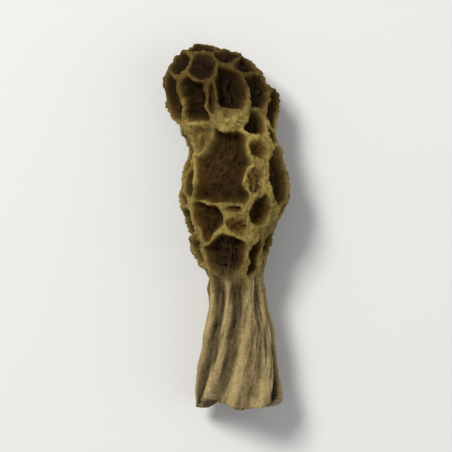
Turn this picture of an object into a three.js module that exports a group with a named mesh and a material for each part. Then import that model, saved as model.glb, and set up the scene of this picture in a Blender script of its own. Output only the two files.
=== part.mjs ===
// A dried morel mushroom, lying on its side: a honeycombed cap and a hollow stem grown as one piece.
// Millimetres, +Z up. The stem's cut end points to -Y and the tip of the cap to +Y.
// The form is a lathe's closed profile, an outer skin and an inner one that meet at the cut rim,
// whose vertices are then moved: to shrivelled oval sections first, and then down into the pits.
import * as THREE from "three";
import { mergeVertices } from "three/addons/utils/BufferGeometryUtils.js";

// The dried form at its ridge crests, as sections along the stalk from the cut end to the tip:
// distance along, half width, half height, sideways place and height of the section's centre,
// and the thickness from the crests in to the hollow.
const SECTIONS = [
  { along: 0.0, halfWidth: 4.7, halfHeight: 4.35, side: 0.5, lift: 3.85, wall: 0.88 },
  { along: 2.6, halfWidth: 4.35, halfHeight: 4.05, side: 0.5, lift: 3.95, wall: 0.9 },
  { along: 5.4, halfWidth: 4.05, halfHeight: 3.75, side: 0.5, lift: 4.05, wall: 0.95 },
  { along: 8.4, halfWidth: 3.65, halfHeight: 3.4, side: 0.45, lift: 4.3, wall: 1.15 },
  { along: 11.2, halfWidth: 3.15, halfHeight: 3.0, side: 0.25, lift: 4.55, wall: 1.4 },
  { along: 13.4, halfWidth: 3.25, halfHeight: 3.05, side: 0.05, lift: 4.7, wall: 1.6 },
  { along: 15.4, halfWidth: 4.1, halfHeight: 3.8, side: -0.3, lift: 4.75, wall: 2.2 },
  { along: 18.2, halfWidth: 5.1, halfHeight: 4.6, side: -0.5, lift: 4.7, wall: 2.9 },
  { along: 21.7, halfWidth: 6.15, halfHeight: 5.35, side: -0.05, lift: 4.75, wall: 3.0 },
  { along: 25.2, halfWidth: 6.35, halfHeight: 5.3, side: -0.05, lift: 4.75, wall: 3.1 },
  { along: 28.8, halfWidth: 5.45, halfHeight: 4.85, side: -0.1, lift: 4.7, wall: 3.15 },
  { along: 32.0, halfWidth: 6.15, halfHeight: 5.15, side: -1.2, lift: 4.5, wall: 2.9 },
  { along: 35.0, halfWidth: 6.55, halfHeight: 5.25, side: -1.75, lift: 4.35, wall: 2.8 },
  { along: 37.6, halfWidth: 5.05, halfHeight: 4.4, side: -2.4, lift: 4.25, wall: 2.6 },
  { along: 39.5, halfWidth: 2.95, halfHeight: 2.7, side: -3.2, lift: 4.2, wall: 2.4 },
  { along: 40.3, halfWidth: 0, halfHeight: 0, side: -3.7, lift: 4.2, wall: 2.4 },
];
// Shallow dents round the sections: share of the half size, lobes, twist per millimetre, phase.
const DENTS = [
  [0.03, 2, 0.21, 1.1],
  [0.025, 3, -0.3, 0],
];
// Where the pits begin and where they are full depth, and where the hollow closes.
const CAP_START = 12.4;
const CAP_FULL = 14.8;
const HOLLOW_TOP = 37.4;
const HOLLOW_TAPER = 3;
// How far the cut rim runs up and down, and how far up the stem that dies away.
const RIM_WAVE = 0.45;
const RIM_FADE = 5;

// Relief of the cap: pit depths on its sides and at its tip, how far the crests sag in places,
// half the width of a crest, the run of a pit's wall, a lone pit's reach as a share of its size, and
// the least thickness of the flesh under a pit.
const PIT_DEPTH = 2.1;
const TIP_DEPTH = 1.3;
const TIP_ZONE = 6;
const CREST_SAG = 0.6;
const CREST_HALF = 0.3;
const WALL_RUN = 1.05;
const PIT_REACH = 1.9;
const LEAST_FLESH = 0.6;
// Unevenness of these: amount as a share, wavelength, phase.
const UNEVEN_DEPTH = [0.15, 7.5, 2.2];
const UNEVEN_CREST = [0.6, 4.7, 0.4];
const UNEVEN_SAG = [1, 5.6, 3.3];
// Bending of the ridges' lines: the same three numbers, twice for each axis, in millimetres.
const BENDS = {
  x: [[0.4, 5.5, 1.3], [0.14, 2.3, 4.1]],
  y: [[0.5, 6.1, 2.9], [0.16, 2.6, 0.7]],
  z: [[0.4, 5.2, 5.3], [0.14, 2.1, 3.6]],
};
// Lengthwise folds of the stem, and how fast they twist, in radians of phase per millimetre.
const FOLD_DEPTH = 0.45;
const FOLDS = 9;
const FOLD_TWIST = 0.55;

// Pits that show from above, from the tip down: place across and along the cap, half width, half
// length, and depth as a share.
const UPPER_PITS = [
  [-3.4, 39.6, 1.1, 0.6, 0.7],
  [-0.4, 38.6, 1.4, 0.8, 0.7],
  [-6.2, 37.7, 0.9, 1.1, 0.9],
  [-3.6, 37.4, 1.2, 1.1, 0.75],
  [-0.3, 35.0, 1.3, 1.8, 1],
  [1.5, 37.8, 1.1, 0.9, 0.8],
  [2.9, 35.0, 1.1, 1.9, 0.75],
  [-7.4, 33.9, 1.0, 2.0, 0.7],
  [-4.6, 32.9, 1.1, 1.9, 1],
  [-2.5, 33.9, 0.55, 1.5, 0.5],
  [4.7, 32.2, 0.8, 1.3, 0.9],
  [2.5, 30.7, 1.1, 0.9, 1],
  [-0.3, 31.2, 1.1, 0.8, 0.15],
  [2.7, 27.9, 0.8, 0.55, 0.7],
  [4.6, 29.6, 0.8, 0.7, 0.8],
  [-4.1, 29.0, 0.9, 1.1, 0.35],
  [-1.6, 25.7, 2.4, 2.7, 1],
  [-5.3, 24.9, 0.7, 1.2, 0.9],
  [2.1, 24.5, 0.8, 1.4, 0.4],
  [5.3, 25.6, 1.2, 2.1, 1],
  [-0.3, 21.3, 0.7, 0.45, 0.5],
  [2.9, 21.0, 0.85, 1.4, 0.9],
  [5.5, 20.9, 0.8, 0.9, 0.9],
  [-3.3, 20.3, 1.5, 1.55, 0.85],
  [0.3, 19.3, 1.1, 0.7, 0.4],
  [-1.1, 16.4, 1.5, 1.7, 1],
  [-4.3, 16.8, 0.8, 1.4, 0.35],
  [2.3, 15.7, 0.6, 1.4, 0.8],
  [4.1, 17.5, 0.7, 1.1, 0.8],
];
// The rest are spread over the sides and the underside by a seeded rule, each where the gap between
// the earlier ones is widest.
const OTHER_PITS = 30;
const OTHER_TURN = [Math.PI * 0.97, Math.PI * 2.03];
const OTHER_HALF_WIDTH = [1.1, 1.9];
const OTHER_SLENDERNESS = [1.05, 1.6];
const TRIES = 60;
const SEED = 20;

// Fineness of the mesh.
const AROUND = 72;
const STEM_STEP = 1.25;
const CAP_STEP = 0.55;
const INNER_ROWS = 10;

// The form as smooth curves over the same parameter, 0 at the cut end and 1 at the tip.
const last = SECTIONS.at(-1);
const beforeLast = SECTIONS.at(-2);
const mirrored = { ...beforeLast, halfWidth: -beforeLast.halfWidth, halfHeight: -beforeLast.halfHeight };
const knots = [...SECTIONS, mirrored];
const TIP = (SECTIONS.length - 1) / (knots.length - 1);
const smooth = (points) => new THREE.CatmullRomCurve3(points, false, "catmullrom", 0.5);
const girth = smooth(knots.map((k) => new THREE.Vector3(k.halfWidth, k.halfHeight, k.along)));
const stalk = smooth(knots.map((k) => new THREE.Vector3(k.side, k.lift, k.wall)));

const { smoothstep, lerp, clamp } = THREE.MathUtils;

// A repeatable random draw from 0 to 1.
function makeDraw(seed) {
  let state = seed >>> 0;
  return () => {
    state = (Math.imul(state, 1664525) + 1013904223) >>> 0;
    return state / 4294967296;
  };
}

// A smooth uneven wave through space, from -1 to 1, made of sines along four slanted directions.
const WAVE_DIRECTIONS = [
  new THREE.Vector3(0.8, 0.36, 0.48),
  new THREE.Vector3(-0.48, 0.6, 0.64),
  new THREE.Vector3(0.36, -0.8, 0.48),
  new THREE.Vector3(0.6, 0.64, -0.48),
];
function ripple(p, wavelength, phase) {
  let sum = 0;
  WAVE_DIRECTIONS.forEach((d, i) => {
    sum += Math.sin((2 * Math.PI * p.dot(d) * (1 + 0.17 * i)) / wavelength + phase * (i + 1.7));
  });
  return sum / WAVE_DIRECTIONS.length;
}

// That wave times an amount, both from a row of three numbers.
function uneven(p, [amount, wavelength, phase]) {
  return amount * ripple(p, wavelength, phase);
}

// A point of the smooth form: t runs along the stalk, and turn goes round it from +X over the top.
function formPoint(t, turn, hollow = false) {
  const size = girth.getPoint(t * TIP);
  const middle = stalk.getPoint(t * TIP);
  const inset = hollow ? middle.z : 0;
  let dent = 1;
  for (const [share, lobes, twist, phase] of DENTS) {
    dent += share * Math.sin(lobes * turn + twist * size.z + phase);
  }
  return new THREE.Vector3(
    middle.x + (size.x * dent - inset) * Math.cos(turn),
    size.z,
    middle.y + (size.y * dent - inset) * Math.sin(turn),
  );
}

// The outward direction of the smooth form.
function formNormal(t, turn) {
  if (t > 0.999) return new THREE.Vector3(0, 1, 0);
  const step = 0.004;
  const alongEdge = formPoint(Math.min(t + step, 1), turn).sub(formPoint(Math.max(t - step, 0), turn));
  const roundEdge = formPoint(t, turn + step).sub(formPoint(t, turn - step));
  return alongEdge.cross(roundEdge).normalize();
}

// The parameter at which the form is a given distance along the stalk.
function parameterAt(along) {
  let low = 0;
  let high = 1;
  for (let i = 0; i < 30; i += 1) {
    const middle = (low + high) / 2;
    if (girth.getPoint(middle * TIP).z < along) low = middle;
    else high = middle;
  }
  return (low + high) / 2;
}

// A pit seen from above at a place across and along the cap.
function upperPit([across, along, wide, long, depth]) {
  const t = parameterAt(along);
  const reach = girth.getPoint(t * TIP).x;
  const middle = stalk.getPoint(t * TIP).x;
  const turn = Math.acos(clamp((across - middle) / reach, -0.98, 0.98));
  return { centre: formPoint(t, turn), wide, long, depth };
}

// All pits: those seen from above, then the others, each the best of many tries.
function makePits() {
  const pits = UPPER_PITS.map(upperPit);
  const draw = makeDraw(SEED);
  const first = parameterAt(CAP_START + 2);
  for (let i = 0; i < OTHER_PITS; i += 1) {
    let best = null;
    let bestGap = -Infinity;
    for (let k = 0; k < TRIES; k += 1) {
      const centre = formPoint(lerp(first, 0.985, draw()), lerp(...OTHER_TURN, draw()));
      const wide = lerp(...OTHER_HALF_WIDTH, draw());
      const long = wide * lerp(...OTHER_SLENDERNESS, draw());
      const gap = Math.min(...pits.map((p) => p.centre.distanceTo(centre) - Math.sqrt(p.wide * p.long)));
      if (gap > bestGap) {
        bestGap = gap;
        best = { centre, wide, long, depth: 1 };
      }
    }
    pits.push(best);
  }
  return pits;
}
const pits = makePits();

// How far out of a pit a point is, as a share of the pit's size, and how fast that grows.
function shareOf({ centre, wide, long }, point) {
  const away = point.clone().sub(centre);
  const growth = new THREE.Vector3(away.x / wide ** 2, away.y / long ** 2, away.z / wide ** 2);
  const share = Math.sqrt(away.dot(growth)) + 1e-6;
  return { share, growth: growth.divideScalar(share) };
}

// The pit that a point lies in, and the distance in millimetres to its edge, 0 or less on a ridge.
function insidePit(point) {
  const bent = point.clone();
  for (const axis of ["x", "y", "z"]) {
    for (const bend of BENDS[axis]) bent[axis] += uneven(point, bend);
  }
  const shares = pits.map((pit) => ({ pit, ...shareOf(pit, bent) }));
  const own = shares.reduce((a, b) => (b.share < a.share ? b : a));
  const others = shares.filter((other) => other !== own);
  const toNeighbours = others.map((other) => (other.share - own.share) / other.growth.distanceTo(own.growth));
  const toReach = (PIT_REACH - own.share) / own.growth.length();
  return { pit: own.pit, inside: Math.min(toReach, ...toNeighbours) };
}

// How far the skin lies below the smooth form.
function reliefDepth(point, t, turn) {
  const onCap = smoothstep(point.y, CAP_START, CAP_FULL);
  const nearTip = smoothstep(point.y, last.along - TIP_ZONE, last.along);
  const { pit, inside } = insidePit(point);
  const usual = lerp(PIT_DEPTH, TIP_DEPTH, nearTip) * (1 + uneven(point, UNEVEN_DEPTH));
  const deepest = Math.min(usual * pit.depth, stalk.getPoint(t * TIP).z - LEAST_FLESH);
  const sag = (CREST_SAG / 2) * (1 + uneven(point, UNEVEN_SAG));
  const crest = CREST_HALF * (1 + uneven(point, UNEVEN_CREST));
  const inward = clamp((inside - crest) / WALL_RUN, 0, 1);
  const fall = inward * (2 - inward);
  return lerp(FOLD_DEPTH * stemFold(point.y, turn), lerp(sag, deepest, fall), onCap);
}

// The stem's lengthwise folds, from 0 on a rib to 1 in the deepest: uneven in width and depth, and
// wandering as they run.
function stemFold(along, turn) {
  const wander = 0.8 * Math.sin(0.33 * along) + 1.3 * Math.sin(turn + 0.6) + 0.6 * Math.sin(3 * turn);
  const strength = 0.7 + 0.3 * Math.sin(2 * turn + 0.15 * along + 2.1);
  return strength * (0.5 + 0.5 * Math.sin(FOLDS * turn + FOLD_TWIST * along + wander));
}

// The cut rim runs up and down a little.
function rimWave(along, turn) {
  return RIM_WAVE * Math.sin(3 * turn + 0.6) * (1 - smoothstep(along, 0, RIM_FADE));
}

// A vertex of the outer skin, flattened where the dried mushroom rests, and how deep it lies.
function outerPoint(t, turn) {
  const point = formPoint(t, turn);
  const depth = reliefDepth(point, t, turn);
  const wave = rimWave(point.y, turn);
  point.addScaledVector(formNormal(t, turn), -depth);
  point.y += wave;
  point.z = Math.max(point.z, 0);
  return { point, depth };
}

// A vertex of the inner skin, round the hollow, which closes before the tip.
function innerPoint(t, turn) {
  const point = formPoint(t, turn, true);
  const middle = stalk.getPoint(t * TIP);
  const open = Math.sqrt(1 - smoothstep(point.y, HOLLOW_TOP - HOLLOW_TAPER, HOLLOW_TOP));
  point.x = lerp(middle.x, point.x, open);
  point.z = lerp(middle.y, point.z, open);
  point.y += rimWave(point.y, turn);
  return { point, depth: 0 };
}

// Rows from the tip to the cut end, a long step apart on the stem and a short one on the cap.
function outerRows() {
  const samples = 2000;
  const counts = [0];
  for (let i = 1; i <= samples; i += 1) {
    const here = girth.getPoint((i / samples) * TIP);
    const step = lerp(STEM_STEP, CAP_STEP, smoothstep(here.z, CAP_START - 3, CAP_START + 1));
    counts.push(counts[i - 1] + here.distanceTo(girth.getPoint(((i - 1) / samples) * TIP)) / step);
  }
  const rows = Math.round(counts[samples]);
  return Array.from({ length: rows + 1 }, (_, j) => {
    const count = (1 - j / rows) * counts[samples];
    return counts.findIndex((value) => value >= count - 1e-9) / samples;
  });
}

// The closed skin: a lathe gives the rows and columns, and each vertex then takes its real place.
// A quad is cut along the diagonal that stays at one depth, so ridges keep their line.
function makeMorel() {
  const hollowEnd = parameterAt(HOLLOW_TOP);
  const inner = Array.from({ length: INNER_ROWS + 1 }, (_, j) => (j / INNER_ROWS) * hollowEnd);
  const rows = [
    ...outerRows().map((t) => ({ t, place: outerPoint, radius: 2 })),
    ...inner.map((t) => ({ t, place: innerPoint, radius: 1 })),
  ];
  rows[0].radius = 0;
  rows.at(-1).radius = 0;
  const lathe = new THREE.LatheGeometry(rows.map((row) => new THREE.Vector2(row.radius, row.t)), AROUND);
  const position = lathe.getAttribute("position");
  const depths = [];
  for (let i = 0; i <= AROUND; i += 1) {
    const turn = (2 * Math.PI * (i % AROUND)) / AROUND;
    for (const { t, place, radius } of rows) {
      const { point, depth } = place(t, radius > 0 ? turn : 0);
      position.setXYZ(depths.length, point.x, point.y, point.z);
      depths.push(depth);
    }
  }
  const corners = lathe.index.array;
  for (let k = 0; k < corners.length; k += 6) {
    const [a, b, d, c] = corners.slice(k, k + 4);
    const straighter = Math.abs(depths[a] - depths[c]) < Math.abs(depths[b] - depths[d]);
    if (straighter) corners.set([a, b, c, a, c, d], k);
  }
  lathe.deleteAttribute("normal");
  lathe.deleteAttribute("uv");
  return withoutSlivers(mergeVertices(lathe, 1e-4));
}

// The triangles that closed up to nothing at the two ends of the axis are dropped.
function withoutSlivers(geometry) {
  const corners = Array.from(geometry.index.array);
  const kept = [];
  for (let k = 0; k < corners.length; k += 3) {
    const triangle = corners.slice(k, k + 3);
    if (new Set(triangle).size === 3) kept.push(...triangle);
  }
  geometry.setIndex(kept);
  return geometry;
}

// The origin is the middle of the place it covers, on the surface it lies on.
function centreOnBase(geometry) {
  geometry.computeBoundingBox();
  const middle = geometry.boundingBox.getCenter(new THREE.Vector3());
  geometry.translate(-middle.x, -middle.y, 0);
  return geometry;
}

const driedFlesh = new THREE.MeshStandardMaterial({ color: "#5f4f2b", roughness: 0.78, metalness: 0 });
const morel = new THREE.Mesh(centreOnBase(makeMorel()), driedFlesh);
morel.name = "morel";

const part = new THREE.Group();
part.add(morel);

export default part;
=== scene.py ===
"""Dried morel mushroom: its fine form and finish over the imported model, laid out as a Blender add-on."""
import math

import bmesh
import bpy
import numpy as np
from bpy.props import FloatProperty, FloatVectorProperty, IntProperty, PointerProperty
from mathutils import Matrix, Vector, noise


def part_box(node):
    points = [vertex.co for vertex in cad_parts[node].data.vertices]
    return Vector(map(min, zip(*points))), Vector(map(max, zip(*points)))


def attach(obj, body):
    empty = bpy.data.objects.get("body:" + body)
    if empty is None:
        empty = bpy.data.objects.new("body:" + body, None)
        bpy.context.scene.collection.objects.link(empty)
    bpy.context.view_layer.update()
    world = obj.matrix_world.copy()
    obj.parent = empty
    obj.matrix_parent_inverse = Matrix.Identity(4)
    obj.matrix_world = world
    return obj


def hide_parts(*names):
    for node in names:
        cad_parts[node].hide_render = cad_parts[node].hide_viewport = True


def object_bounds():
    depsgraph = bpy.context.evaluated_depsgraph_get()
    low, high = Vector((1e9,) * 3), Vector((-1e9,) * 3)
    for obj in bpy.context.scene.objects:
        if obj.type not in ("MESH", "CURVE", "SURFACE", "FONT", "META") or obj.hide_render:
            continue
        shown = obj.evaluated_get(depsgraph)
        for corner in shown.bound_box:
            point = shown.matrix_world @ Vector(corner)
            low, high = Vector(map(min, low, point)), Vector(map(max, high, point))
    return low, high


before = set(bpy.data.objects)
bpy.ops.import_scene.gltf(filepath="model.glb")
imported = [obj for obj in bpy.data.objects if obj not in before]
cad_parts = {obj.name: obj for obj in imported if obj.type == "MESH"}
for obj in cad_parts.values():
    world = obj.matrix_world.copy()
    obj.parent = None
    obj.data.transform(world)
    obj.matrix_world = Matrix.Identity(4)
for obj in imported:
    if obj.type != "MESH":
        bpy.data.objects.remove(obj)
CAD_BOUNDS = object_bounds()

bl_info = {
    "name": "Dried morel",
    "version": (1, 0, 0),
    "blender": (4, 5, 0),
    "location": "3D View > Sidebar > Morel",
    "description": "A dried morel mushroom, honeycombed cap and hollow stem, and a plain studio for it",
    "category": "Object",
}

MM = 0.001

# The dried form at its ridge crests, in millimetres, from the cut end to the tip: distance along,
# half width, half height, sideways place and height of the section's centre, and the thickness
# from the crests in to the hollow. The last row mirrors the one before the tip, so the tip is round.
SECTIONS = np.array([
    [0.0, 4.7, 4.35, 0.5, 3.85, 0.88],
    [2.6, 4.35, 4.05, 0.5, 3.95, 0.9],
    [5.4, 4.05, 3.75, 0.5, 4.05, 0.95],
    [8.4, 3.65, 3.4, 0.45, 4.3, 1.15],
    [11.2, 3.15, 3.0, 0.25, 4.55, 1.4],
    [13.4, 3.25, 3.05, 0.05, 4.7, 1.6],
    [15.4, 4.1, 3.8, -0.3, 4.75, 2.2],
    [18.2, 5.1, 4.6, -0.5, 4.7, 2.9],
    [21.7, 6.15, 5.35, -0.05, 4.75, 3.0],
    [25.2, 6.35, 5.3, -0.05, 4.75, 3.1],
    [28.8, 5.45, 4.85, -0.1, 4.7, 3.15],
    [32.0, 6.15, 5.15, -1.2, 4.5, 2.9],
    [35.0, 6.55, 5.25, -1.75, 4.35, 2.8],
    [37.6, 5.05, 4.4, -2.4, 4.25, 2.6],
    [39.5, 2.95, 2.7, -3.2, 4.2, 2.4],
    [40.3, 0.0, 0.0, -3.7, 4.2, 2.4],
    [39.5, -2.95, -2.7, -3.2, 4.2, 2.4],
])
# The tip's distance along, and its place among the rows as a share.
TIP_ALONG = SECTIONS[-2, 0]
TIP_SHARE = (len(SECTIONS) - 2) / (len(SECTIONS) - 1)
# Waves round the stalk have a row each: amount, lobes, twist per millimetre and phase. These dent
# the sections by shares of the half size.
DENTS = ((0.03, 2, 0.21, 1.1), (0.025, 3, -0.3, 0.0))
# Where the pits begin and where they are full depth, where the hollow closes, and over what
# length it narrows to that.
CAP_START = 12.4
CAP_FULL = 14.8
HOLLOW_TOP = 37.4
HOLLOW_TAPER = 3.0
# Such waves run the cut rim up and down, in millimetres, and die away so far up the stem.
RIM_WAVES = ((0.45, 3, 0.0, 0.6),)
RIM_FADE = 5.0

# Relief of the cap, in millimetres: the length of the tip, where pits are shallower, how far the
# crests sag in places, the least thickness of the flesh under a pit, and the rounding of the pits'
# corners. The last, how far a pit reaches where no other is near, is a share of its size.
TIP_ZONE = 6.0
CREST_SAG = 0.6
LEAST_FLESH = 0.6
ROUNDING = 0.18
PIT_REACH = 1.9
# Unevenness of the pits' depth, the crests' width and their sag: amount as a share, wavelength, phase.
UNEVEN_DEPTH = (0.15, 7.5, 2.2)
UNEVEN_CREST = (0.6, 4.7, 0.4)
UNEVEN_SAG = (1.0, 5.6, 3.3)
# Bending of the ridges' lines, twice for each axis, and of the lines on the pits' floors: the same
# three numbers, with the amount in millimetres.
BENDS = (
    ((0.4, 5.5, 1.3), (0.14, 2.3, 4.1)),
    ((0.5, 6.1, 2.9), (0.16, 2.6, 0.7)),
    ((0.4, 5.2, 5.3), (0.14, 2.1, 3.6)),
)
FLOOR_BEND = (0.4, 2.1, 2.0)
# Lengthwise folds of the stem: their number, how fast they twist, in radians of phase per
# millimetre, the waves by which they wander, their usual strength and the waves by which it
# varies, and how narrow the ribs between them are.
FOLDS = 9
FOLD_TWIST = 0.55
FOLD_WANDER = ((0.8, 0, 0.33, 0.0), (1.3, 1, 0.0, 0.6), (0.6, 3, 0.0, 0.0))
FOLD_STRENGTH = 0.7
FOLD_STRENGTH_WAVES = ((0.3, 2, 0.15, 2.1),)
RIB_NARROWING = 1.7
# The sines that make up an uneven wave: how much finer each is than the one before, what the
# phase is multiplied by in the first, and their slanted directions.
SINE_STEP = 0.17
FIRST_PHASE = 1.7
WAVE_DIRECTIONS = np.array([
    [0.8, 0.36, 0.48],
    [-0.48, 0.6, 0.64],
    [0.36, -0.8, 0.48],
    [0.6, 0.64, -0.48],
])

# Pits that show from above, from the tip down: place across and along, half width, half length
# and depth as a share.
UPPER_PITS = (
    (-3.4, 39.6, 1.1, 0.6, 0.7),
    (-0.4, 38.6, 1.4, 0.8, 0.7),
    (-6.2, 37.7, 0.9, 1.1, 0.9),
    (-3.6, 37.4, 1.2, 1.1, 0.75),
    (-0.3, 35.0, 1.3, 1.8, 1),
    (1.5, 37.8, 1.1, 0.9, 0.8),
    (2.9, 35.0, 1.1, 1.9, 0.75),
    (-7.4, 33.9, 1.0, 2.0, 0.7),
    (-4.6, 32.9, 1.1, 1.9, 1),
    (-2.5, 33.9, 0.55, 1.5, 0.5),
    (4.7, 32.2, 0.8, 1.3, 0.9),
    (2.5, 30.7, 1.1, 0.9, 1),
    (-0.3, 31.2, 1.1, 0.8, 0.15),
    (2.7, 27.9, 0.8, 0.55, 0.7),
    (4.6, 29.6, 0.8, 0.7, 0.8),
    (-4.1, 29.0, 0.9, 1.1, 0.35),
    (-1.6, 25.7, 2.4, 2.7, 1),
    (-5.3, 24.9, 0.7, 1.2, 0.9),
    (2.1, 24.5, 0.8, 1.4, 0.4),
    (5.3, 25.6, 1.2, 2.1, 1),
    (-0.3, 21.3, 0.7, 0.45, 0.5),
    (2.9, 21.0, 0.85, 1.4, 0.9),
    (5.5, 20.9, 0.8, 0.9, 0.9),
    (-3.3, 20.3, 1.5, 1.55, 0.85),
    (0.3, 19.3, 1.1, 0.7, 0.4),
    (-1.1, 16.4, 1.5, 1.7, 1),
    (-4.3, 16.8, 0.8, 1.4, 0.35),
    (2.3, 15.7, 0.6, 1.4, 0.8),
    (4.1, 17.5, 0.7, 1.1, 0.8),
)
# How far across such a pit may lie, as a share of the half width there.
UPPER_LIMIT = 0.98
# The rest are spread over the sides and the underside by a seeded rule, each where the gap between
# the earlier ones is widest: from a place along the cap to a parameter near the tip.
OTHER_PITS = 30
OTHER_FIRST = CAP_START + 2
OTHER_LAST = 0.985
OTHER_TURN = (0.97 * math.pi, 2.03 * math.pi)
OTHER_HALF_WIDTH = (1.1, 1.9)
OTHER_SLENDERNESS = (1.05, 1.6)
TRIES = 60
# The seeded draws: each state is the one before times a factor, plus a step, within a range.
SEED = 20
DRAW_FACTOR = 1664525
DRAW_STEP = 1013904223
DRAW_RANGE = 4294967296
# Small numbers: one that keeps divisions from zero and picks out the rim, one for the edges of
# the plain skin, and the distance within which its points are joined.
TINY = 1e-6
SLIVER = 0.001
JOINED_WITHIN = 1e-5

# How fast the octaves of smooth noise weaken, and how many times finer each is.
OCTAVE_FALL = 0.8
OCTAVE_GAP = 2.1
# Kinds of smooth noise in the flesh: wavelength in millimetres, octaves, seed, and a stretch along
# the stalk where it has one.
EDGE_WAVER = (1.1, 3, 1.3)
PLEAT_SWAY = (1.6, 1, 6.0)
FLOOR_FOLDS = (1.5, 2, 18.0)
WRINKLES = (0.85, 3, 2.2)
SMALL_WRINKLES = (0.36, 2, 5.2)
CREST_NICKS = (1.2, 2, 7.7)
RIDGE_LEANS = ((2.3, 1, 11.0), (2.3, 1, 12.0), (2.3, 1, 13.0))
STEM_FURROWS = (0.95, 2, 8.3)
STEM_CREASES = (0.42, 2, 19.0)
STEM_MEAL = (0.3, 2, 0.6)
STEM_TOP = (3.0, 2, 24.0)
HOLLOW_FURROWS = (1.1, 2, 14.0, 4.0)
HOLLOW_MEAL = (0.34, 2, 15.0)
RIM_TEARS = (1.0, 3, 4.7)
RIM_NICKS = (0.4, 1, 9.1)
RIM_GRAIN = (0.5, 2, 21.0)
# Kinds of raised lines between round cells: wavelength in millimetres, seed, and the same stretch.
# The lines' width is a share of the wavelength.
FLOOR_RIBS = (1.7, 3.0, 1.3)
STEM_VEINS = (1.25, 22.0, 1.0)
LINE_WIDTH = 0.32
# Strengths that noise varies: the usual one, how far it varies, and the kind of noise.
PLEAT_STRENGTH = (0.5, 1.2, (2.2, 1, 16.0))
RIB_STRENGTH = (0.6, 0.5, (2.0, 1, 17.0))
VEIN_STRENGTH = (0.6, 0.6, (2.5, 1, 23.0))

# Zones in from a pit's edge, in millimetres, each a smooth change from one distance to another:
# down off the crest, onto the floor, into the pleats and out of them.
OFF_CREST = (0.05, 0.6)
ONTO_FLOOR = (0.6, 1.2)
INTO_PLEATS = (0.05, 0.4)
OUT_OF_PLEATS = (0.5, 1.3)
# Depth shares over which a pit's skin turns from slack to taut, and from pale to dark: the dark is partly
# the pits' own darker flesh and partly painted shade in the deeper pits.
SLACK_TO_TAUT = (0.2, 0.8)
PALE_TO_DARK = (0.05, 0.9)
# Pleats in a pit, for each millimetre of its half size, how far they sway, in radians of phase,
# and the most that their strength may be.
PLEATS_PER_MM = 7
PLEAT_SWAY_REACH = 4.5
PLEAT_LIMIT = 1.3

# Fixed heights and reaches of fine relief, in millimetres: how far the pits' edges and the colour's
# edge at the stem's top waver, and the heights of meal, of the hollow's furrows and of the rim's grain.
EDGE_REACH = 0.12
STEM_TOP_REACH = 1.6
MEAL_HEIGHT = 0.04
HOLLOW_FURROW_HEIGHT = 0.1
RIM_GRAIN_HEIGHT = 0.12
# Shares of the lesser kinds of relief, against the one that each is added to: folds beside the
# ribs of a floor, and in slack skin, small wrinkles beside wrinkles, nicks beside the rim's tears,
# and, from none, the stem's furrows in full with its creases and its veins beside them.
FLOOR_FOLD_SHARE = 0.45
SLACK_FOLD_SHARE = 0.5
SMALL_WRINKLE_SHARE = 0.6
RIM_NICK_SHARE = 0.5
STEM_RAISED = (0.0, 1.0, 0.35, 0.7)
# Nicks cut down more than they leave standing.
NICK_BIAS = 0.35
# How strongly ribs, folds, pleats and slack skin show in the mark for crests. In slack skin the low parts
# between folds are darkened, as painted shade.
RIB_MARK = 0.28
FOLD_MARK = 0.08
PLEAT_MARK = 0.12
SLACK_MARK = 0.16
# Marks that start from a middle, to which each kind of relief adds its weight: on the cap its
# wrinkles and small wrinkles, on the stem its furrows, creases, veins and meal, and in the hollow
# its meal, or its furrows for the mark for crests.
CAP_FINE = (0.5, 0.28, 0.2)
STEM_FINE = (0.4, 0.28, 0.14, 0.24, 0.16)
HOLLOW_FINE = (0.5, 0.3)
HOLLOW_CREST = (0.5, 0.4)
# The lean's noise is soft, so it is strengthened.
LEAN_GAIN = 2.4
# The stem's colour gives way to the cap's between these distances along.
STEM_COLOUR_END = (CAP_START - 0.6, CAP_FULL + 0.4)
# The stem's furrows are laid out on a round bar of this radius, drawn out along it.
BAR_RADIUS = 4
BAR_STRETCH = 6
# The rim's tears are laid out on a circle, and die away up the stem, both in millimetres.
TEAR_RADIUS = 2.2
TEAR_FADE = 1.6

# Steps between rows of faces on the stem and on the cap, against each other, and where they change.
STEM_STEP = 0.2
CAP_STEP = 0.145
STEP_CHANGE = (CAP_START - 3, CAP_START + 1)
# Samples of the form's curve, for finding places on it and for spacing the rows.
PLACE_SAMPLES = 4001
ROW_SAMPLES = 2001

# Kinds of noise in the finish: scale per metre, detail and roughness.
PATCHES = (170, 2.0, 0.55)
GOLDEN_PATCHES = (120, 1.0, 0.55)
BLOTCHES = (620, 4.0, 0.6)
PUCKERS = (1700, 3.0, 0.55)
SPECKS = (4200, 2.0, 0.55)
PUCKER_DEPTH = 0.3 * MM
SPECK_DEPTH = 0.04 * MM
# What the cap's colour is multiplied by along its length, at places from the middle of the whole
# towards the tip, in millimetres: palest at the junction under the dome, and dark on the dome,
# partly its own darker flesh and partly painted shade.
CAP_TONES = (
    (-4.8, (0.7, 0.69, 0.67)),
    (1.8, (0.74, 0.73, 0.71)),
    (5.2, (0.94, 0.935, 0.92)),
    (7.6, (1.03, 1.03, 1.02)),
    (10.8, (1.03, 1.03, 1.02)),
    (15.2, (0.36, 0.31, 0.245)),
)
# How far patches shift those tones along, in millimetres.
TONE_WAVER = 12.0
# Painted golden light in some pits low on the cap: what it multiplies the colour by, and over which
# noise of its patches, marks for crests and places, in millimetres, it comes in.
GOLDEN_PAINTED_LIGHT = (1.65, 1.5, 1.15)
GOLDEN_REACH = (0.42, 0.62)
GOLDEN_CRESTS = (0.9, 0.3)
GOLDEN_END = (8.5, 5.5)
# The olive tinge: its greatest share, and over which noise of the patches and marks for crests
# it comes in.
OLIVE_SHARE = 0.6
OLIVE_REACH = (0.45, 0.65)
OLIVE_CRESTS = (0.4, 0.9)
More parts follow.
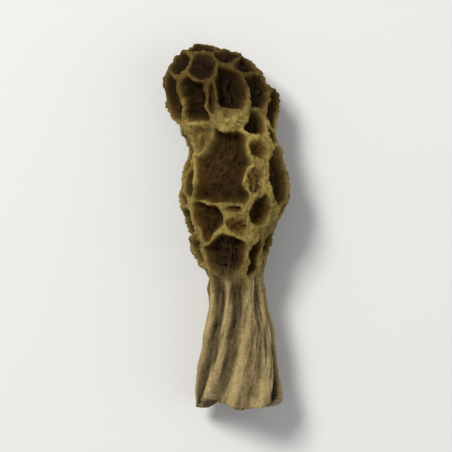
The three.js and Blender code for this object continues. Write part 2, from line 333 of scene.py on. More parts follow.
# How far blotches shift the marks that the colours of the cap and of the stem follow, and how
# much of the crest mark and of the fine height the stem's follow.
CAP_BLOTCHING = 0.35
STEM_BLOTCHING = 0.3
STEM_CREST_SHARE = 0.6
STEM_FINE_SHARE = 0.5
# How pale the highest crests are against the others, how dark the painted shade on the hollow's low
# flesh is against the rest, and how much of the cut rim's own colour shows.
PALE_CREST = 1.45
HOLLOW_PAINTED_SHADE = 0.55
CUT_SHARE = 0.8
# Painted shade on the low parts of the fine relief and painted light on its raised parts, and
# specks of darker and paler flesh: the range that counts, and what it multiplies the colour by.
# The roughness follows the same fine heights.
FINE_RANGE = (0.1, 0.9)
FINE_SHADE = (0.58, 1.26)
SPECK_RANGE = (0.3, 0.7)
SPECK_SHADE = (0.84, 1.14)
ROUGHNESS = (0.88, 0.66)

# The studio, in metres: half the floor's width, and the place, size and colour of each light.
FLOOR_HALF = 1.5
KEY_LIGHT = ((-0.23, 0.22, 0.41), 0.16, (1, 0.98, 0.95))
FILL_LIGHT = ((0.4, -0.12, 0.3), 0.5, (0.95, 0.97, 1))


def relief_size(name, description, default):
    """A size of the relief, as a property."""
    return FloatProperty(name=name, description=description, default=default, unit="LENGTH")


def face_count(name, description, default, least):
    """A number of faces, as a property."""
    return IntProperty(name=name, description=description, default=default, min=least)


class MorelForm(bpy.types.PropertyGroup):
    """Sizes of the mushroom's relief"""

    pit_depth: relief_size("Pit depth", "Depth of the pits on the sides of the cap", 2.1 * MM)
    tip_depth: relief_size("Tip pit depth", "Depth of the pits at the tip", 1.3 * MM)
    crest_half: relief_size("Half crest width", "Half the width of a ridge's crest", 0.12 * MM)
    wall_run: relief_size("Wall run", "How far a pit's wall runs from the crest to the floor", 0.9 * MM)
    lean: relief_size("Ridge lean", "How far the dried ridges bend sideways", 0.35 * MM)
    nibble: relief_size("Crest nibble", "How far the crests are nicked and torn", 0.28 * MM)
    rib_height: relief_size("Rib height", "Height of the lesser ribs on the pits' floors", 0.4 * MM)
    pleat_height: relief_size("Pleat height", "Height of the pleats down the pits' walls", 0.14 * MM)
    furrow_height: relief_size("Furrow height", "Height of the stem's finer lengthwise wrinkles", 0.2 * MM)
    wrinkle_height: relief_size("Wrinkle height", "Height of the drying wrinkles", 0.15 * MM)
    fold_depth: relief_size("Stem fold depth", "Depth of the stem's lengthwise folds", 0.45 * MM)
    ragged_rim: relief_size("Ragged rim", "How far the cut rim is torn up and down", 0.22 * MM)
    around: face_count("Around", "Faces round the skin", 340, 24)
    outer_rows: face_count("Outer rows", "Rows of faces on the outer skin", 250, 24)
    inner_rows: face_count("Inner rows", "Rows of faces in the hollow", 20, 4)
    rim_rows: face_count("Rim rows", "Rows of faces across the cut rim", 4, 1)


def colour_choice(name, description, default):
    """A colour in linear light, as a property."""
    return FloatVectorProperty(
        name=name, description=description, default=default, subtype="COLOR", min=0, max=1
    )


class MorelColours(bpy.types.PropertyGroup):
    """Colours of the dried flesh, in linear light; the pit floor and wall are partly painted shade, and the
    stem's furrow colour is painted shade
    """

    # The pit floor and wall colours are partly the pits' own darker flesh and partly painted shade deep in
    # the pits.
    floor: colour_choice("Pit floor", "Colour deep in the pits", (0.022, 0.0105, 0.0018))
    wall: colour_choice("Pit wall", "Colour half way up the pits' walls", (0.092, 0.052, 0.0105))
    crest: colour_choice("Crest", "Colour of the ridges' crests", (0.243, 0.177, 0.05))
    olive: colour_choice("Olive tinge", "Greenish flesh between the pits", (0.155, 0.117, 0.03))
    # The stem's furrow colour is painted shade in its folds.
    furrow_shade: colour_choice("Stem furrow", "Colour in the stem's furrows", (0.024, 0.0135, 0.0048))
    stem: colour_choice("Stem", "Colour of the stem's ribs", (0.365, 0.274, 0.124))
    rim: colour_choice("Cut rim", "Colour of the cut flesh", (0.42, 0.31, 0.17))
    hollow: colour_choice("Hollow", "Colour inside the stem", (0.24, 0.165, 0.08))


class StudioSettings(bpy.types.PropertyGroup):
    """The camera, lights and floor"""

    elevation: FloatProperty(
        name="Camera elevation", description="Height of the view above the horizon",
        default=math.radians(87.2), subtype="ANGLE",
    )
    field: FloatProperty(
        name="Field of view", description="Angle that the picture covers",
        default=math.radians(13.1), subtype="ANGLE",
    )
    filling: FloatProperty(
        name="Filling", description="Share of the picture's height that the mushroom fills",
        default=0.84, subtype="FACTOR", min=0.1, max=1,
    )
    key_power: FloatProperty(
        name="Key light", description="Strength of the key light", default=2.1, unit="POWER"
    )
    fill_power: FloatProperty(
        name="Fill light", description="Strength of the fill light", default=0.5, unit="POWER"
    )
    sky: FloatProperty(name="Surround", description="Strength of the light from all round", default=0.3)
    floor: colour_choice("Floor", "Colour of the floor", (0.86, 0.86, 0.85))


def smoothstep(x, low, high):
    """0 below low, 1 above high, and a smooth rise between."""
    share = np.clip((x - low) / (high - low), 0, 1)
    return share * share * (3 - 2 * share)


def lerp(a, b, share):
    """From a to b by a share."""
    return a + (b - a) * share


def length(vectors):
    """Length of each row."""
    return np.sqrt((vectors * vectors).sum(axis=-1))


def ripple(points, wavelength, phase):
    """A smooth uneven wave through space, from -1 to 1, made of sines along four slanted directions."""
    total = 0
    for i, direction in enumerate(WAVE_DIRECTIONS):
        total = total + np.sin(
            2 * math.pi * (points @ direction) * (1 + SINE_STEP * i) / wavelength
            + phase * (i + FIRST_PHASE)
        )
    return total / len(WAVE_DIRECTIONS)


def uneven(points, row):
    """A ripple times an amount, by a row of the amount, the wavelength and the phase."""
    amount, wavelength, phase = row
    return amount * ripple(points, wavelength, phase)


def waves(start, rows, along, turn):
    """Waves round the stalk, added to a start."""
    total = start
    for amount, lobes, twist, phase in rows:
        total = total + amount * np.sin(lobes * turn + twist * along + phase)
    return total


def weighed(weights, *parts):
    """The first weight, plus each part times its own weight."""
    total = weights[0]
    for weight, part in zip(weights[1:], parts):
        total = total + weight * part
    return total


def section_at(t):
    """The sections as one smooth curve, at parameters from 0 at the cut end to 1 at the tip."""
    rows = SECTIONS
    place = np.clip(t, 0, 1) * TIP_SHARE * (len(rows) - 1)
    start = np.minimum(place.astype(int), len(rows) - 2)
    w = (place - start)[:, None]
    padded = np.vstack([2 * rows[0] - rows[1], rows, 2 * rows[-1] - rows[-2]])
    before, here, there, after = (padded[start + k] for k in range(4))
    leave = (there - before) / 2
    arrive = (after - here) / 2
    cubic = 2 * here - 2 * there + leave + arrive
    square = 3 * there - 3 * here - 2 * leave - arrive
    return ((cubic * w + square) * w + leave) * w + here


def form_points(t, turn, hollow=False):
    """Points of the smooth form: t runs along the stalk, and turn goes round it from +X over the top."""
    along, wide, high, side, lift, wall = section_at(t).T
    inset = wall if hollow else 0.0
    dent = waves(1.0, DENTS, along, turn)
    x = side + (wide * dent - inset) * np.cos(turn)
    z = lift + (high * dent - inset) * np.sin(turn)
    return np.stack([x, along, z], axis=1)


def form_normals(t, turn):
    """The outward direction of the smooth form."""
    step = 0.004
    lengthwise = form_points(np.minimum(t + step, 1), turn) - form_points(np.maximum(t - step, 0), turn)
    crosswise = form_points(t, turn + step) - form_points(t, turn - step)
    normals = np.cross(lengthwise, crosswise)
    # At the tip the crosswise step has no length, so the normal points along the stalk.
    normals[t > 1 - SLIVER] = (0, 1, 0)
    return normals / length(normals)[:, None]


def parameter_at(along):
    """The parameter at which the form is a given distance along the stalk."""
    t = np.linspace(0, 1, PLACE_SAMPLES)
    return float(np.interp(along, section_at(t)[:, 0], t))


def seeded_draws(seed):
    """A repeatable run of random numbers from 0 to 1."""
    state = seed
    while True:
        state = (state * DRAW_FACTOR + DRAW_STEP) % DRAW_RANGE
        yield state / DRAW_RANGE


def upper_pit(across, along, wide, long, depth):
    """A pit seen from above: its centre, half width, half length and depth."""
    t = np.array([parameter_at(along)])
    section = section_at(t)[0]
    turn = np.arccos(np.clip([(across - section[3]) / section[1]], -UPPER_LIMIT, UPPER_LIMIT))
    return [*form_points(t, turn)[0], wide, long, depth]


def pit_table():
    """All pits, a row each: those seen from above, then the others, each the best of many tries."""
    pits = [upper_pit(*row) for row in UPPER_PITS]
    draw = seeded_draws(SEED)
    first = parameter_at(OTHER_FIRST)
    for _ in range(OTHER_PITS):
        tries = []
        for _ in range(TRIES):
            t = lerp(first, OTHER_LAST, next(draw))
            turn = lerp(*OTHER_TURN, next(draw))
            wide = lerp(*OTHER_HALF_WIDTH, next(draw))
            long = wide * lerp(*OTHER_SLENDERNESS, next(draw))
            tries.append((t, turn, wide, long))
        t, turn, wide, long = np.array(tries).T
        centres = form_points(t, turn)
        table = np.array(pits)
        gaps = length(centres[:, None] - table[None, :, :3]) - np.sqrt(table[:, 3] * table[:, 4])
        best = gaps.min(axis=1).argmax()
        pits.append([*centres[best], wide[best], long[best], 1])
    return np.array(pits)


def share_of(pit, points):
    """How far out of a pit each point is, as a share of the pit's size, and how fast that grows."""
    away = points - pit[:3]
    growth = away / np.array([pit[3], pit[4], pit[3]]) ** 2
    share = np.sqrt((away * growth).sum(axis=1)) + TINY
    return share, growth / share[:, None]


def inside_pits(points, pits):
    """Millimetres in from the edge of each point's pit, its corners rounded, which pit it is, and the
    points as the bends move them."""
    bent = points.copy()
    for axis, bends in enumerate(BENDS):
        for bend in bends:
            bent[:, axis] += uneven(points, bend)
    own_share = np.full(len(points), np.inf)
    own_growth = np.zeros_like(points)
    own = np.zeros(len(points), int)
    for k, pit in enumerate(pits):
        share, growth = share_of(pit, bent)
        nearer = share < own_share
        own_share = np.where(nearer, share, own_share)
        own_growth[nearer] = growth[nearer]
        own[nearer] = k
    nearness = np.exp(-(PIT_REACH - own_share) / length(own_growth) / ROUNDING)
    for k, pit in enumerate(pits):
        share, growth = share_of(pit, bent)
        border = (share - own_share) / np.maximum(length(growth - own_growth), TINY)
        nearness += np.where(own == k, 0, np.exp(-border / ROUNDING))
    return -ROUNDING * np.log(nearness), own, bent


def noise_places(points, wavelength, seed, stretch):
    """Points in a noise's own space, drawn out along the stalk by a stretch."""
    return (points / (wavelength * np.array([1, stretch, 1])) + seed).tolist()


def field(points, wavelength, octaves, seed, stretch=1.0):
    """Smooth noise, about -1 to 1."""
    places = noise_places(points, wavelength, seed, stretch)
    return np.array([noise.fractal(place, OCTAVE_FALL, OCTAVE_GAP, octaves) for place in places])


def creased(points, kind):
    """Sharp creases with round backs between, about -1 to 1, from a kind of smooth noise."""
    return 1 - 2 * np.abs(field(points, *kind))


def varied(points, strength):
    """A strength that noise varies from place to place."""
    usual, swing, kind = strength
    return usual + swing * field(points, *kind)


def cell_lines(points, wavelength, seed, stretch):
    """Raised lines between round cells: 1 on a line and 0 in a cell."""
    places = noise_places(points, wavelength, seed, stretch)
    nearest = np.array([noise.voronoi(place)[0][:2] for place in places])
    return 1 - smoothstep(nearest[:, 1] - nearest[:, 0], 0.0, LINE_WIDTH)


def stem_folds(along, turn):
    """The stem's lengthwise folds, from 0 on a rib to 1 in the deepest: uneven in width and depth,
    and wandering as they run."""
    wander = waves(0.0, FOLD_WANDER, along, turn)
    strength = waves(FOLD_STRENGTH, FOLD_STRENGTH_WAVES, along, turn)
    return strength * (0.5 + 0.5 * np.sin(FOLDS * turn + FOLD_TWIST * along + wander))


def rim_wave(along, turn):
    """The cut rim runs up and down a little."""
    return waves(0.0, RIM_WAVES, along, turn) * (1 - smoothstep(along, 0, RIM_FADE))


def torn(along, turn, amount):
    """The cut rim's tears, the same on both skins."""
    circle = np.stack([TEAR_RADIUS * np.cos(turn), 0 * turn, TEAR_RADIUS * np.sin(turn)], axis=1)
    tears = field(circle, *RIM_TEARS) + RIM_NICK_SHARE * field(circle, *RIM_NICKS)
    return amount * tears * (1 - smoothstep(along, 0, TEAR_FADE))


def pleats(distance, away, outward, size, own, smooth):
    """Pleats that run down a pit's walls from its crest, uneven in width and height: about -1 to 1."""
    across = away[:, 2] * outward[:, 0] - away[:, 0] * outward[:, 2]
    angle = np.arctan2(away[:, 1] / size[:, 1], across / size[:, 0])
    number = np.round(PLEATS_PER_MM * np.sqrt(size[:, 0] * size[:, 1]))
    wave = np.sin(number * angle + PLEAT_SWAY_REACH * field(smooth, *PLEAT_SWAY) + own)
    strength = np.clip(varied(smooth, PLEAT_STRENGTH), 0, PLEAT_LIMIT)
    return wave * strength * smoothstep(distance, *INTO_PLEATS) * (1 - smoothstep(distance, *OUT_OF_PLEATS))


def cap_relief(t, smooth, outward, form, pits):
    """Relief of the cap: how deep the skin lies, how much it is a crest, and marks for the finish."""
    near_tip = smoothstep(smooth[:, 1], TIP_ALONG - TIP_ZONE, TIP_ALONG)
    distance, own, bent = inside_pits(smooth, pits)
    distance = distance + EDGE_REACH * field(smooth, *EDGE_WAVER)
    share = pits[own, 5]
    usual = lerp(form.pit_depth / MM, form.tip_depth / MM, near_tip) * (1 + uneven(smooth, UNEVEN_DEPTH))
    deepest = np.minimum(usual * share, section_at(t)[:, 5] - LEAST_FLESH)
    sag = CREST_SAG / 2 * (1 + uneven(smooth, UNEVEN_SAG))
    crest_half = form.crest_half / MM * (1 + uneven(smooth, UNEVEN_CREST))
    inward = np.clip((distance - crest_half) / (form.wall_run / MM), 0, 1)
    fall = inward * (2 - inward)

    pleat = pleats(distance, bent - pits[own, :3], outward, pits[own, 3:5], own, smooth)
    warped = smooth + uneven(smooth, FLOOR_BEND)[:, None]
    ribs = cell_lines(warped, *FLOOR_RIBS) ** 2 * varied(smooth, RIB_STRENGTH)
    folds = creased(warped, FLOOR_FOLDS)
    on_floor = smoothstep(distance, *ONTO_FLOOR)
    on_crest = 1 - smoothstep(distance, *OFF_CREST)
    wrinkles = creased(smooth, WRINKLES)
    small = creased(smooth, SMALL_WRINKLES)
    nicks = field(smooth, *CREST_NICKS) + NICK_BIAS
    slack = fall * (1 - smoothstep(share, *SLACK_TO_TAUT))

    depth = lerp(sag, deepest, fall)
    low_relief = (ribs + FLOOR_FOLD_SHARE * folds) * on_floor + SLACK_FOLD_SHARE * folds * slack
    depth -= form.rib_height / MM * low_relief
    depth -= form.pleat_height / MM * pleat
    depth += form.nibble / MM * nicks * on_crest
    depth -= form.wrinkle_height / MM * (wrinkles + SMALL_WRINKLE_SHARE * small)

    # Deep pits turn dark: partly their own darker flesh, partly painted shade.
    dark = fall * smoothstep(share, *PALE_TO_DARK)
    crest = 1 - dark + (RIB_MARK * ribs + FOLD_MARK * folds) * on_floor + PLEAT_MARK * pleat
    # Painted shade between the folds of slack skin.
    crest -= SLACK_MARK * (1 - folds) * slack
    return depth, on_crest, crest, weighed(CAP_FINE, wrinkles, small)


def stem_relief(along, turn, smooth, form):
    """Relief of the stem: how deep the skin lies, and marks for the finish."""
    ribs = (1 - stem_folds(along, turn)) ** RIB_NARROWING
    lengthwise = turn + FOLD_TWIST / FOLDS * along
    bar = np.stack(
        [BAR_RADIUS * np.cos(lengthwise), along / BAR_STRETCH, BAR_RADIUS * np.sin(lengthwise)], axis=1
    )
    furrows = creased(bar, STEM_FURROWS)
    creases = creased(bar, STEM_CREASES)
    veins = cell_lines(bar, *STEM_VEINS) * varied(smooth, VEIN_STRENGTH)
    meal = field(smooth, *STEM_MEAL)
    raised = weighed(STEM_RAISED, furrows, creases, veins)
    depth = form.fold_depth / MM * (1 - ribs) - form.furrow_height / MM * raised - MEAL_HEIGHT * meal
    return depth, ribs, weighed(STEM_FINE, furrows, creases, veins, meal)


def outer_skin(t, turn, form, pits):
    """The outer skin's points, and its marks for the finish: crest, stem, hollow and fine height."""
    smooth = form_points(t, turn)
    outward = form_normals(t, turn)
    along = smooth[:, 1]
    on_cap = smoothstep(along, CAP_START, CAP_FULL)
    cap_depth, on_crest, crest, cap_fine = cap_relief(t, smooth, outward, form, pits)
    stem_depth, rib, stem_fine = stem_relief(along, turn, smooth, form)
    depth = lerp(stem_depth, cap_depth, on_cap)

    bend = np.stack([field(smooth, *kind) for kind in RIDGE_LEANS], axis=1)
    bend -= outward * (bend * outward).sum(axis=1)[:, None]
    bend /= 1 + length(bend)[:, None]
    lean = LEAN_GAIN * form.lean / MM * on_crest * on_cap
    points = smooth - outward * depth[:, None] + bend * lean[:, None]
    points[:, 1] += rim_wave(along, turn) + torn(along, turn, form.ragged_rim / MM)
    points[:, 2] = np.maximum(points[:, 2], 0)

    stem = 1 - smoothstep(along + STEM_TOP_REACH * field(smooth, *STEM_TOP), *STEM_COLOUR_END)
    marks = np.stack([lerp(rib, crest, on_cap), stem, 0 * t, lerp(stem_fine, cap_fine, on_cap)], axis=1)
    return points, np.clip(marks, 0, 1)


def inner_skin(t, turn, form):
    """The inner skin's points round the hollow, which closes before the tip, and its marks."""
    smooth = form_points(t, turn, hollow=True)
    section = section_at(t)
    along = section[:, 0]
    opening = np.sqrt(1 - smoothstep(along, HOLLOW_TOP - HOLLOW_TAPER, HOLLOW_TOP))
    furrows = creased(smooth, HOLLOW_FURROWS)
    meal = field(smooth, *HOLLOW_MEAL)
    inward = np.stack([-np.cos(turn), 0 * turn, -np.sin(turn)], axis=1)
    points = smooth + inward * (HOLLOW_FURROW_HEIGHT * furrows + MEAL_HEIGHT * meal)[:, None]
    points[:, 0] = lerp(section[:, 3], points[:, 0], opening)
    points[:, 2] = lerp(section[:, 4], points[:, 2], opening)
    points[:, 1] += rim_wave(along, turn) + torn(along, turn, form.ragged_rim / MM)
    fine = np.clip(weighed(HOLLOW_FINE, meal), 0, 1)
    marks = np.stack([weighed(HOLLOW_CREST, furrows), 1 + 0 * t, 1 + 0 * t, fine], axis=1)
    return points, marks


def spun_skin(form, hollow_end):
    """A closed double skin in plain numbers: height along the stalk, radius 2 outside and 1 inside."""
    bm = bmesh.new()
    first_row = 1 - 1 / form.outer_rows
    last_row = hollow_end * (1 - 1 / form.inner_rows)
    corners = ((0, 1), (2, first_row), (2, 0), (1, 0), (1, last_row), (0, hollow_end))
    profile = [bm.verts.new((radius, height, 0)) for radius, height in corners]
    edges = [bm.edges.new(pair) for pair in zip(profile, profile[1:])]
    for edge, rows in zip(edges[1:4], (form.outer_rows - 1, form.rim_rows, form.inner_rows - 1)):
        bmesh.ops.subdivide_edges(bm, edges=[edge], cuts=rows - 1)
    bmesh.ops.spin(
        bm, geom=bm.verts[:] + bm.edges[:], cent=(0, 0, 0), axis=(0, 1, 0),
        angle=2 * math.pi, steps=form.around, use_merge=True,
    )
    bmesh.ops.remove_doubles(bm, verts=bm.verts[:], dist=JOINED_WITHIN)
    bmesh.ops.recalc_face_normals(bm, faces=bm.faces[:])
    for face in bm.faces:
        face.smooth = True
    mesh = bpy.data.meshes.new("dried_morel")
    bm.to_mesh(mesh)
    bm.free()
    return mesh


def row_parameters(heights):
    """Parameters for rows of the outer skin, closer together on the cap than on the stem."""
    t = np.linspace(0, 1, ROW_SAMPLES)
    sections = section_at(t)
    travelled = length(np.diff(sections[:, :3], axis=0))
    step = lerp(STEM_STEP, CAP_STEP, smoothstep(sections[1:, 0], *STEP_CHANGE))
    counts = np.concatenate([[0], np.cumsum(travelled / step)])
    return np.interp(heights, counts / counts[-1], t)


def move_to_form(mesh, form):
    """Moves the spun skin's points to the mushroom's form and stores the marks for its finish."""
    plain = np.empty(len(mesh.vertices) * 3)
    mesh.vertices.foreach_get("co", plain)
    x, height, z = plain.reshape(-1, 3).T
    radius = np.hypot(x, z)
    turn = np.arctan2(z, x)
    # On the axis, only the top point belongs to the outer skin. Across the rim, the skins are mixed.
    at_tip = (radius < 0.5) & (height > 0.99)
    share = np.where(at_tip, 1, np.clip(radius - 1, 0, 1))
    is_rim = height < TINY
    outside = share > SLIVER
    inside = share < 1 - SLIVER

    points = np.zeros((len(turn), 3))
    marks = np.zeros((len(turn), 4))
    t_outer = np.where(is_rim, 0, row_parameters(height))[outside]
    outer_points, outer_marks = outer_skin(t_outer, turn[outside], form, pit_table())
    t_inner = np.where(is_rim, 0, height)[inside]
    inner_points, inner_marks = inner_skin(t_inner, turn[inside], form)
    points[outside] += outer_points * share[outside, None]
    marks[outside] += outer_marks * share[outside, None]
    points[inside] += inner_points * (1 - share[inside, None])
    marks[inside] += inner_marks * (1 - share[inside, None])
    rim = 4 * share * (1 - share) * is_rim
    points[:, 1] += RIM_GRAIN_HEIGHT * rim * field(points, *RIM_GRAIN)

    low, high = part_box("morel")
    points *= MM
    middle = (points.min(axis=0) + points.max(axis=0)) / 2
    points[:, 0] += (low.x + high.x) / 2 - middle[0]
    points[:, 1] += (low.y + high.y) / 2 - middle[1]
    mesh.vertices.foreach_set("co", points.astype(np.float32).ravel())
    layer = mesh.color_attributes.new("flesh", "FLOAT_COLOR", "POINT")
    layer.data.foreach_set("color", marks.astype(np.float32).ravel())
    mesh.update()


class Nodes:
    """A material's node tree, with short calls for the nodes that the finish uses."""

    def __init__(self, name):
        self.material = bpy.data.materials.new(name)
        self.material.use_nodes = True
        self.tree = self.material.node_tree
        self.shader = self.tree.nodes["Principled BSDF"]

    def add(self, kind, **settings):
        """A node of a kind, with its settings."""
        node = self.tree.nodes.new(kind)
        for name, value in settings.items():
            setattr(node, name, value)
        return node

    def put(self, value, socket):
        """Links an output to a socket, or sets the socket to a plain value."""
        if isinstance(value, bpy.types.NodeSocket):
            self.tree.links.new(value, socket)
        else:
            socket.default_value = value

    def math(self, operation, a, b=0.0):
        """The result of a sum on one or two numbers."""
        node = self.add("ShaderNodeMath", operation=operation)
        self.put(a, node.inputs[0])
        self.put(b, node.inputs[1])
        return node.outputs[0]

    def plus(self, a, b):
        """One number plus another."""
        return self.math("ADD", a, b)

    def minus(self, a, b):
        """One number less another."""
        return self.math("SUBTRACT", a, b)

    def times(self, a, b):
        """One number times another."""
        return self.math("MULTIPLY", a, b)

    def swing(self, noise_output, amount):
        """A noise of 0 to 1 turned to a swing to both sides of 0."""
        return self.times(self.minus(noise_output, 0.5), amount)

    def mix(self, share, a, b, blend="MIX"):
        """Two colours mixed by a share."""
        node = self.add("ShaderNodeMix", data_type="RGBA", blend_type=blend)
        self.put(share, node.inputs["Factor"])
        self.put(a, node.inputs["A"])
        self.put(b, node.inputs["B"])
        return node.outputs["Result"]

    def ramp(self, value, stops):
        """A colour ramp with stops of (place, colour)."""
        node = self.add("ShaderNodeValToRGB")
        elements = node.color_ramp.elements
        while len(elements) < len(stops):
            elements.new(0.5)
        for element, (place, colour) in zip(elements, stops):
            element.position = place
            element.color = opaque(colour)
        self.put(value, node.inputs["Fac"])
        return node.outputs["Color"]

    def range(self, value, low, high, to_low=0.0, to_high=1.0):
        """A number moved from one range to another and kept inside it."""
        node = self.add("ShaderNodeMapRange")
        sockets = ("Value", "From Min", "From Max", "To Min", "To Max")
        for socket, number in zip(sockets, (value, low, high, to_low, to_high)):
            self.put(number, node.inputs[socket])
        return node.outputs["Result"]

    def noise(self, vector, scale, detail, roughness):
        """Noise from 0 to 1."""
        node = self.add("ShaderNodeTexNoise")
        self.put(vector, node.inputs["Vector"])
        node.inputs["Scale"].default_value = scale
        node.inputs["Detail"].default_value = detail
        node.inputs["Roughness"].default_value = roughness
        return node.outputs["Fac"]

    def grey(self, lightness):
        """A grey of a lightness."""
        node = self.add("ShaderNodeCombineColor")
        for socket in node.inputs:
            self.put(lightness, socket)
        return node.outputs["Color"]

    def bump(self, height, distance, normal=None):
        """A bump of a height, on top of another one."""
        node = self.add("ShaderNodeBump")
        node.inputs["Strength"].default_value = 1.0
        node.inputs["Distance"].default_value = distance
        self.put(height, node.inputs["Height"])
        if normal is not None:
            self.put(normal, node.inputs["Normal"])
        return node.outputs["Normal"]


def opaque(colour):
    """A colour with its alpha."""
    return (*colour, 1)


def between(a, b, share):
    """A colour between two."""
    return tuple(lerp(x, y, share) for x, y in zip(a, b))


def scaled(colour, factor):
    """A lighter or darker colour."""
    return tuple(min(factor * channel, 1) for channel in colour)


def cap_colour(n, colours, place, crest, blotches):
    """The cap: dark floors and brown walls, partly their own colour and partly painted shade, pale crests,
    olive in patches, and painted golden light in some low pits.
    """
    patches = n.noise(place, *PATCHES)
    worn = n.plus(crest, n.swing(blotches, CAP_BLOTCHING))
    cap = n.ramp(worn, (
        (0.0, colours.floor),
        (0.26, between(colours.floor, colours.wall, 0.35)),
        (0.68, colours.wall),
        (0.92, colours.crest),
        (1.0, scaled(colours.crest, PALE_CREST)),
    ))
    olive = n.times(n.range(patches, *OLIVE_REACH), n.range(worn, *OLIVE_CRESTS))
    cap = n.mix(n.times(olive, OLIVE_SHARE), cap, opaque(colours.olive))

    along = n.add("ShaderNodeSeparateXYZ")
    n.put(place, along.inputs["Vector"])
    height = n.plus(along.outputs["Y"], n.swing(patches, TONE_WAVER * MM))
    # Painted golden light in some pits low on the cap.
    golden_patches = n.range(n.noise(place, *GOLDEN_PATCHES), *GOLDEN_REACH)
    golden = n.times(golden_patches, n.range(worn, *GOLDEN_CRESTS))
    below_end = n.range(height, *(end * MM for end in GOLDEN_END))
    cap = n.mix(n.times(golden, below_end), cap, opaque(GOLDEN_PAINTED_LIGHT), blend="MULTIPLY")

    # Tones along the cap; the dark on the dome is partly its own darker flesh and partly painted shade.
    lowest, highest = CAP_TONES[0][0], CAP_TONES[-1][0]
    stops = [((at - lowest) / (highest - lowest), tone) for at, tone in CAP_TONES]
    tone = n.ramp(n.range(height, lowest * MM, highest * MM), stops)
    return n.mix(1.0, cap, tone, blend="MULTIPLY")


def stem_colour(n, colours, crest, fine, blotches):
    """The stem: pale ribs, and furrows darkened with painted shade."""
    raised = n.plus(n.times(crest, STEM_CREST_SHARE), n.times(fine, STEM_FINE_SHARE))
    # The furrows take the furrow colour, which is painted shade.
    return n.ramp(n.plus(raised, n.swing(blotches, STEM_BLOTCHING)), (
        (0.18, colours.furrow_shade),
        (0.5, between(colours.furrow_shade, colours.stem, 0.27)),
        (0.9, colours.stem),
    ))


def dried_flesh(colours):
    """The dried flesh: dark pits, partly painted shade, tan-olive crests, painted golden light in some low
    pits, a tan stem with painted shade in its furrows, and pale cut flesh.
    """
    n = Nodes("dried_flesh")
    place = n.add("ShaderNodeTexCoord").outputs["Object"]
    mark = n.add("ShaderNodeAttribute", attribute_name="flesh")
    parts = n.add("ShaderNodeSeparateColor")
    n.put(mark.outputs["Color"], parts.inputs["Color"])
    crest, stem, hollow = parts.outputs
    fine = mark.outputs["Alpha"]
    blotches = n.noise(place, *BLOTCHES)
    specks = n.noise(place, *SPECKS)

    cap = cap_colour(n, colours, place, crest, blotches)
    stalk = stem_colour(n, colours, crest, fine, blotches)
    # Painted shade darkens the hollow's low flesh.
    inner = n.mix(fine, opaque(scaled(colours.hollow, HOLLOW_PAINTED_SHADE)), opaque(colours.hollow))
    flesh = n.mix(hollow, n.mix(stem, cap, stalk), inner)
    # The hollow's mark is between 0 and 1 only across the cut rim.
    cut = n.times(n.times(hollow, n.minus(1.0, hollow)), 4.0)
    flesh = n.mix(n.times(cut, CUT_SHARE), flesh, opaque(colours.rim))
    # Painted shade on the low fine relief and painted light on its raised parts, times specks of darker and
    # paler flesh.
    fine_shade = n.range(fine, *FINE_RANGE, *FINE_SHADE)
    shade = n.times(fine_shade, n.range(specks, *SPECK_RANGE, *SPECK_SHADE))
    flesh = n.mix(1.0, flesh, n.grey(shade), blend="MULTIPLY")

    n.put(flesh, n.shader.inputs["Base Color"])
    n.put(n.range(fine, *FINE_RANGE, *ROUGHNESS), n.shader.inputs["Roughness"])
    n.shader.inputs["Specular IOR Level"].default_value = 0.1
    puckers = n.math("ABSOLUTE", n.minus(n.noise(place, *PUCKERS), 0.5))
    grain = n.bump(specks, SPECK_DEPTH)
    n.put(n.bump(n.minus(0.5, puckers), PUCKER_DEPTH, normal=grain), n.shader.inputs["Normal"])
    return n.material


def plain_floor(colour):
    """The floor's plain pale finish."""
    n = Nodes("plain_floor")
    n.put(opaque(colour), n.shader.inputs["Base Color"])
    n.shader.inputs["Roughness"].default_value = 0.9
    n.shader.inputs["Specular IOR Level"].default_value = 0.2
    return n.material


class MOREL_OT_flesh(bpy.types.Operator):
    """Makes the mushroom, cap and stem in one piece, in place of the model's plain solid"""

    bl_idname = "morel.flesh"
    bl_label = "Make the mushroom"

    def execute(self, context):
        form = context.scene.morel_form
        mesh = spun_skin(form, parameter_at(HOLLOW_TOP))
        move_to_form(mesh, form)
        mesh.materials.append(dried_flesh(context.scene.morel_colours))
        piece = bpy.data.objects.new("dried_morel", mesh)
        context.scene.collection.objects.link(piece)
        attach(piece, "root")
        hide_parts("morel")
        return {"FINISHED"}


def soft_light(name, power, aim, place, size, colour):
    """A square soft light at a place, aimed at a point."""
    light = bpy.data.lights.new(name, "AREA")
    light.energy = power
    light.size = size
    light.color = colour
    lamp = bpy.data.objects.new(name, light)
    lamp.location = place
    lamp.rotation_euler = (Vector(aim) - Vector(place)).to_track_quat("-Z", "Y").to_euler()
    bpy.context.scene.collection.objects.link(lamp)


def studio_floor(colour):
    """The plain floor that the mushroom lies on."""
    bm = bmesh.new()
    bmesh.ops.create_grid(bm, x_segments=1, y_segments=1, size=FLOOR_HALF)
    mesh = bpy.data.meshes.new("studio_floor")
    bm.to_mesh(mesh)
    bm.free()
    mesh.materials.append(plain_floor(colour))
    return bpy.data.objects.new("studio_floor", mesh)


def surround(strength):
    """White light from all round."""
    world = bpy.data.worlds.new("studio")
    world.use_nodes = True
    background = world.node_tree.nodes["Background"]
    background.inputs["Strength"].default_value = strength
    background.inputs["Color"].default_value = (1, 1, 1, 1)
    return world


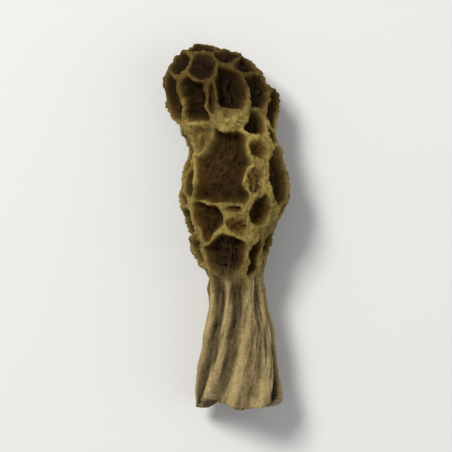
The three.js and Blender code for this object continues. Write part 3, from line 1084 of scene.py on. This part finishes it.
def studio_camera(studio, aim):
    """The camera, as far off as makes the mushroom fill its share of the picture."""
    lens = bpy.data.cameras.new("camera")
    lens.sensor_width = 36
    lens.angle = studio.field
    camera = bpy.data.objects.new("camera", lens)
    low, high = CAD_BOUNDS
    height = (high[1] - low[1]) / studio.filling
    distance = height / 2 / math.tan(studio.field / 2) + high[2]
    direction = Vector((0, -math.cos(studio.elevation), math.sin(studio.elevation)))
    camera.location = aim + direction * distance
    camera.rotation_euler = (math.pi / 2 - studio.elevation, 0, 0)
    return camera


class MOREL_OT_stage(bpy.types.Operator):
    """Makes the plain floor, the soft lights and the camera that looks down on the mushroom"""

    bl_idname = "morel.stage"
    bl_label = "Make the stage"

    def execute(self, context):
        scene = context.scene
        studio = scene.morel_studio
        floor = studio_floor(studio.floor)
        scene.collection.objects.link(floor)

        aim = Vector((0, 0, CAD_BOUNDS[1][2] / 2))
        soft_light("key", studio.key_power, aim, *KEY_LIGHT)
        soft_light("fill", studio.fill_power, aim, *FILL_LIGHT)
        scene.world = surround(studio.sky)
        scene.view_settings.view_transform = "Standard"
        camera = studio_camera(studio, aim)
        scene.collection.objects.link(camera)
        scene.camera = camera
        return {"FINISHED"}


class MOREL_PT_panel(bpy.types.Panel):
    """The mushroom's settings and its two steps"""

    bl_idname = "MOREL_PT_panel"
    bl_label = "Dried morel"
    bl_space_type = "VIEW_3D"
    bl_region_type = "UI"
    bl_category = "Morel"

    def draw(self, context):
        for group, operator in (
            ("morel_form", "morel.flesh"),
            ("morel_colours", None),
            ("morel_studio", "morel.stage"),
        ):
            box = self.layout.box()
            settings = getattr(context.scene, group)
            for name in settings.__annotations__:
                box.prop(settings, name)
            if operator:
                box.operator(operator)


CLASSES = (MorelForm, MorelColours, StudioSettings, MOREL_OT_flesh, MOREL_OT_stage, MOREL_PT_panel)


def register():
    """Registers the classes and hangs their settings on the scene."""
    for cls in CLASSES:
        bpy.utils.register_class(cls)
    bpy.types.Scene.morel_form = PointerProperty(type=MorelForm)
    bpy.types.Scene.morel_colours = PointerProperty(type=MorelColours)
    bpy.types.Scene.morel_studio = PointerProperty(type=StudioSettings)


def unregister():
    """Takes the settings and the classes away again."""
    del bpy.types.Scene.morel_studio
    del bpy.types.Scene.morel_colours
    del bpy.types.Scene.morel_form
    for cls in reversed(CLASSES):
        bpy.utils.unregister_class(cls)


def main():
    """Makes the mushroom and its stage."""
    register()
    bpy.ops.morel.flesh()
    bpy.ops.morel.stage()


if __name__ == "__main__":
    main()
